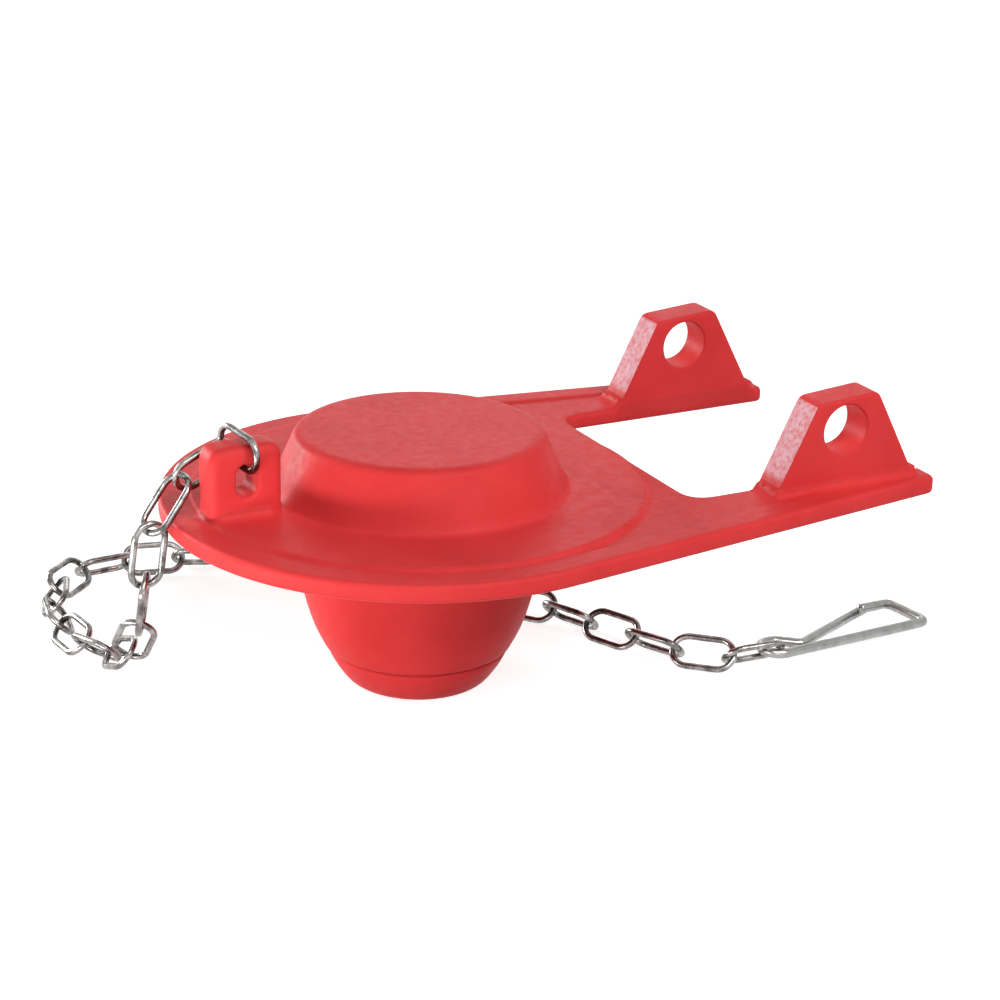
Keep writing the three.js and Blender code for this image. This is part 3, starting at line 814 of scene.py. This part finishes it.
def combine(tree, operation, first, second):
    """Two values into one. The second is a number or another node's output."""
    n = node(tree, "ShaderNodeMath", operation=operation)
    tree.links.new(first, n.inputs[0])
    if isinstance(second, float):
        n.inputs[1].default_value = second
    else:
        tree.links.new(second, n.inputs[1])
    return n.outputs[0]


def vector_node(tree, operation, source, with_vector=None):
    """Outputs of a node that works on one vector, or on it and a fixed one."""
    n = node(tree, "ShaderNodeVectorMath", operation=operation)
    tree.links.new(source, n.inputs[0])
    if with_vector:
        n.inputs[1].default_value = with_vector
    return n.outputs


def bump(tree, height, strength, distance, normal=None):
    n = node(tree, "ShaderNodeBump", Strength=strength, Distance=distance)
    tree.links.new(height, n.inputs["Height"])
    if normal is not None:
        tree.links.new(normal, n.inputs["Normal"])
    return n.outputs["Normal"]


def shader(name):
    """New material, its nodes, its main shader and the place on the object."""
    material = bpy.data.materials.new(name)
    material.use_nodes = True
    tree = material.node_tree
    place = node(tree, "ShaderNodeTexCoord").outputs["Object"]
    return material, tree, tree.nodes["Principled BSDF"], place


# Materials

def painted_sheen_area(tree):
    """Mask of the painted sheen: 1 on the ears' slopes towards the disc, off their feet and bores, and 0
    elsewhere.
    """
    coords = node(tree, "ShaderNodeTexCoord")
    split = node(tree, "ShaderNodeSeparateXYZ")
    tree.links.new(coords.outputs["Object"], split.inputs[0])
    # the painted sheen goes only where the surface faces the way the ears' slopes do, towards the lamp's
    # reflection
    facing = vector_node(tree, "DOT_PRODUCT", coords.outputs["Normal"], EAR_SLOPE)["Value"]
    sideways = vector_node(tree, "MULTIPLY", coords.outputs["Object"], (1, 0, 1))["Vector"]
    from_hinge = vector_node(tree, "LENGTH", sideways)["Value"]
    area = ramp(tree, facing, [(0.93, grey(0.0)), (0.985, grey(1.0))])
    at_ears = combine(tree, "LESS_THAN", split.outputs["X"], PAINTED_SHEEN_FRONT)
    outside_bore = combine(tree, "GREATER_THAN", from_hinge, PAINTED_SHEEN_BORE)
    above_foot = ease(tree, split.outputs["Z"], PAINTED_SHEEN_FOOT, PAINTED_SHEEN_FULL)
    for limit in (at_ears, outside_bore, above_foot):
        area = combine(tree, "MULTIPLY", area, limit)
    return area


def painted_sheen(tree, place, colour):
    """Painted sheen: pale grainy colour over the rubber's colour on the ears' slopes, standing in for the
    back-left lamp's highlight.
    """
    specks = noise(tree, place, scale=1100.0, detail=3.0, roughness=0.7)
    grain = ramp(tree, specks, [(0.36, grey(0.35)), (0.6, grey(1.0))])
    mix = node(tree, "ShaderNodeMix", data_type="RGBA")
    tree.links.new(combine(tree, "MULTIPLY", painted_sheen_area(tree), grain), mix.inputs["Factor"])
    tree.links.new(colour, mix.inputs[6])
    mix.inputs[7].default_value = (*PAINTED_SHEEN_COLOUR, 1)
    return mix.outputs[2]


def rubber():
    """Red rubber: slightly cloudy, finely grained, with softened edges and some light under its skin."""
    material, tree, bsdf, place = shader("red_rubber")
    cloud = noise(tree, place, scale=60.0, detail=4.0, roughness=0.6)
    fine = noise(tree, place, scale=700.0, detail=3.0)
    grain = noise(tree, place, scale=2600.0, detail=2.0)
    colour = ramp(tree, cloud, [(0.3, RUBBER_DARK), (0.7, RUBBER_PALE)])
    # the base colour carries a painted sheen on the ears' slopes
    tree.links.new(painted_sheen(tree, place, colour), bsdf.inputs["Base Color"])
    rough = ramp(tree, fine, [(0.3, grey(0.42)), (0.7, grey(0.54))])
    tree.links.new(rough, bsdf.inputs["Roughness"])
    bevel = node(tree, "ShaderNodeBevel", samples=4, Radius=0.0004)
    dented = bump(tree, fine, strength=0.25, distance=0.0001, normal=bevel.outputs["Normal"])
    grained = bump(tree, grain, strength=0.22, distance=0.00006, normal=dented)
    tree.links.new(grained, bsdf.inputs["Normal"])
    set_inputs(bsdf, {
        "Subsurface Weight": 0.12, "Subsurface Radius": (0.0012, 0.0003, 0.0002), "Subsurface Scale": 1.0,
        "IOR": 1.5, "Specular IOR Level": RUBBER_SPECULAR})
    return material


def steel(name, rough, dark, pale):
    """Steel wire with dark, rougher patches and fine scratches."""
    material, tree, bsdf, place = shader(name)
    cloud = noise(tree, place, scale=420.0, detail=4.0, roughness=0.65)
    scratches = noise(tree, place, scale=1800.0, detail=2.0)
    # the dark and pale colours are both below real steel's: painted dark reflections, with random patches
    # between them
    colour = ramp(tree, cloud, [(0.38, dark), (0.62, pale)])
    tree.links.new(colour, bsdf.inputs["Base Color"])
    gloss = ramp(tree, cloud, [(0.3, grey(rough + DARK_ROUGHER)), (0.7, grey(rough))])
    tree.links.new(gloss, bsdf.inputs["Roughness"])
    tree.links.new(bump(tree, scratches, strength=0.15, distance=0.00004), bsdf.inputs["Normal"])
    bsdf.inputs["Metallic"].default_value = 1.0
    return material


def dress(obj, material):
    obj.data.materials.append(material)
    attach(obj, "root")
    return obj


# Floor, light and camera

def background_rays(tree):
    """1 for rays that the background is shown to: the camera's own, and those in gloss and glass."""
    path = node(tree, "ShaderNodeLightPath")
    gloss = combine(tree, "MAXIMUM", path.outputs["Is Camera Ray"], path.outputs["Is Glossy Ray"])
    return combine(tree, "MAXIMUM", gloss, path.outputs["Is Transmission Ray"])


def floor_material():
    """Pale floor: a glow lifts it to white, fully where no lamp reaches, and the object's shadow stays."""
    material = bpy.data.materials.new("pale_floor")
    material.use_nodes = True
    tree = material.node_tree
    tree.nodes.clear()
    place = node(tree, "ShaderNodeTexCoord").outputs["Object"]
    distance = vector_node(tree, "LENGTH", place)["Value"]
    amount = ease(tree, distance, GLOW_FROM, GLOW_TO, FLOOR_GLOW, 1.0)
    glow = node(tree, "ShaderNodeEmission", Color=WHITE)
    tree.links.new(combine(tree, "MULTIPLY", background_rays(tree), amount), glow.inputs["Strength"])
    diffuse = node(tree, "ShaderNodeBsdfDiffuse", Color=(*grey(FLOOR_COLOUR), 1))
    both = node(tree, "ShaderNodeAddShader")
    tree.links.new(diffuse.outputs[0], both.inputs[0])
    tree.links.new(glow.outputs[0], both.inputs[1])
    out = node(tree, "ShaderNodeOutputMaterial")
    tree.links.new(both.outputs[0], out.inputs["Surface"])
    return material


def floor():
    mesh = bpy.data.meshes.new("floor")
    z = FLOOR / 1000 - FLOOR_UNDER
    corners = [(x * FLOOR_HALF, y * FLOOR_HALF, z) for x, y in ((-1, -1), (1, -1), (1, 1), (-1, 1))]
    mesh.from_pydata(corners, [], [(0, 1, 2, 3)])
    mesh.materials.append(floor_material())
    obj = bpy.data.objects.new("floor", mesh)
    bpy.context.scene.collection.objects.link(obj)


def studio():
    """White background, and a dimmer even light on the object."""
    world = bpy.data.worlds.new("studio")
    bpy.context.scene.world = world
    world.use_nodes = True
    tree = world.node_tree
    tree.nodes.clear()
    seen = node(tree, "ShaderNodeBackground", Color=WHITE, Strength=1.0)
    lit = node(tree, "ShaderNodeBackground", Color=WHITE, Strength=ROOM_LIGHT)
    mix = node(tree, "ShaderNodeMixShader")
    tree.links.new(background_rays(tree), mix.inputs[0])
    tree.links.new(lit.outputs[0], mix.inputs[1])
    tree.links.new(seen.outputs[0], mix.inputs[2])
    out = node(tree, "ShaderNodeOutputWorld")
    tree.links.new(mix.outputs[0], out.inputs["Surface"])


def lamp(name, place, target, size, power):
    light = bpy.data.lights.new(name, "AREA")
    light.shape = "RECTANGLE"
    light.size, light.size_y = size
    light.energy = power
    obj = bpy.data.objects.new(name, light)
    obj.location = place
    obj.rotation_mode = "QUATERNION"
    obj.rotation_quaternion = (Vector(target) - Vector(place)).to_track_quat("-Z", "Y")
    bpy.context.scene.collection.objects.link(obj)


def photo_camera():
    """The photograph's camera, as fitted to landmarks of the object."""
    roll = math.radians(CAMERA_ROLL)
    forward = Vector(CAMERA_FORWARD).normalized()
    level = Vector(CAMERA_RIGHT).normalized()
    upright = level.cross(forward).normalized()
    right = level * math.cos(roll) - upright * math.sin(roll)
    up = level * math.sin(roll) + upright * math.cos(roll)
    data = bpy.data.cameras.new("camera")
    data.sensor_width = SENSOR_WIDTH
    data.lens = SENSOR_WIDTH * FOCAL_PIXELS / PICTURE_PIXELS
    data.clip_start = CLIP_NEAR
    data.clip_end = CLIP_FAR
    camera = bpy.data.objects.new("camera", data)
    camera.rotation_mode = "QUATERNION"
    columns = (right, up, -forward, Vector(CAMERA_PLACE))
    camera.matrix_world = Matrix([*zip(*columns), (0, 0, 0, 1)])
    bpy.context.scene.collection.objects.link(camera)
    bpy.context.scene.camera = camera


# The whole scene

RUBBER = rubber()
CHAIN = steel("chain_steel", CHAIN_ROUGH, CHAIN_DARK, CHAIN_PALE)
CLIP = steel("clip_steel", CLIP_ROUGH, CLIP_DARK, CLIP_PALE)

body = flapper()
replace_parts(dress(body, RUBBER), "flapper_body")

for name in sorted(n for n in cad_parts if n.startswith("chain_link")):
    link = sweep(name.replace("chain_link", "link"), link_path(name), LINK_WIRE, True)
    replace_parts(dress(link, CHAIN), name)

clip = sweep("spring_clip", clip_path(), CLIP_WIRE, False)
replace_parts(dress(clip, CLIP), "wire_clip")

floor()
studio()
for settings in LAMPS:
    lamp(*settings)
photo_camera()
bpy.context.scene.view_settings.view_transform = "Standard"
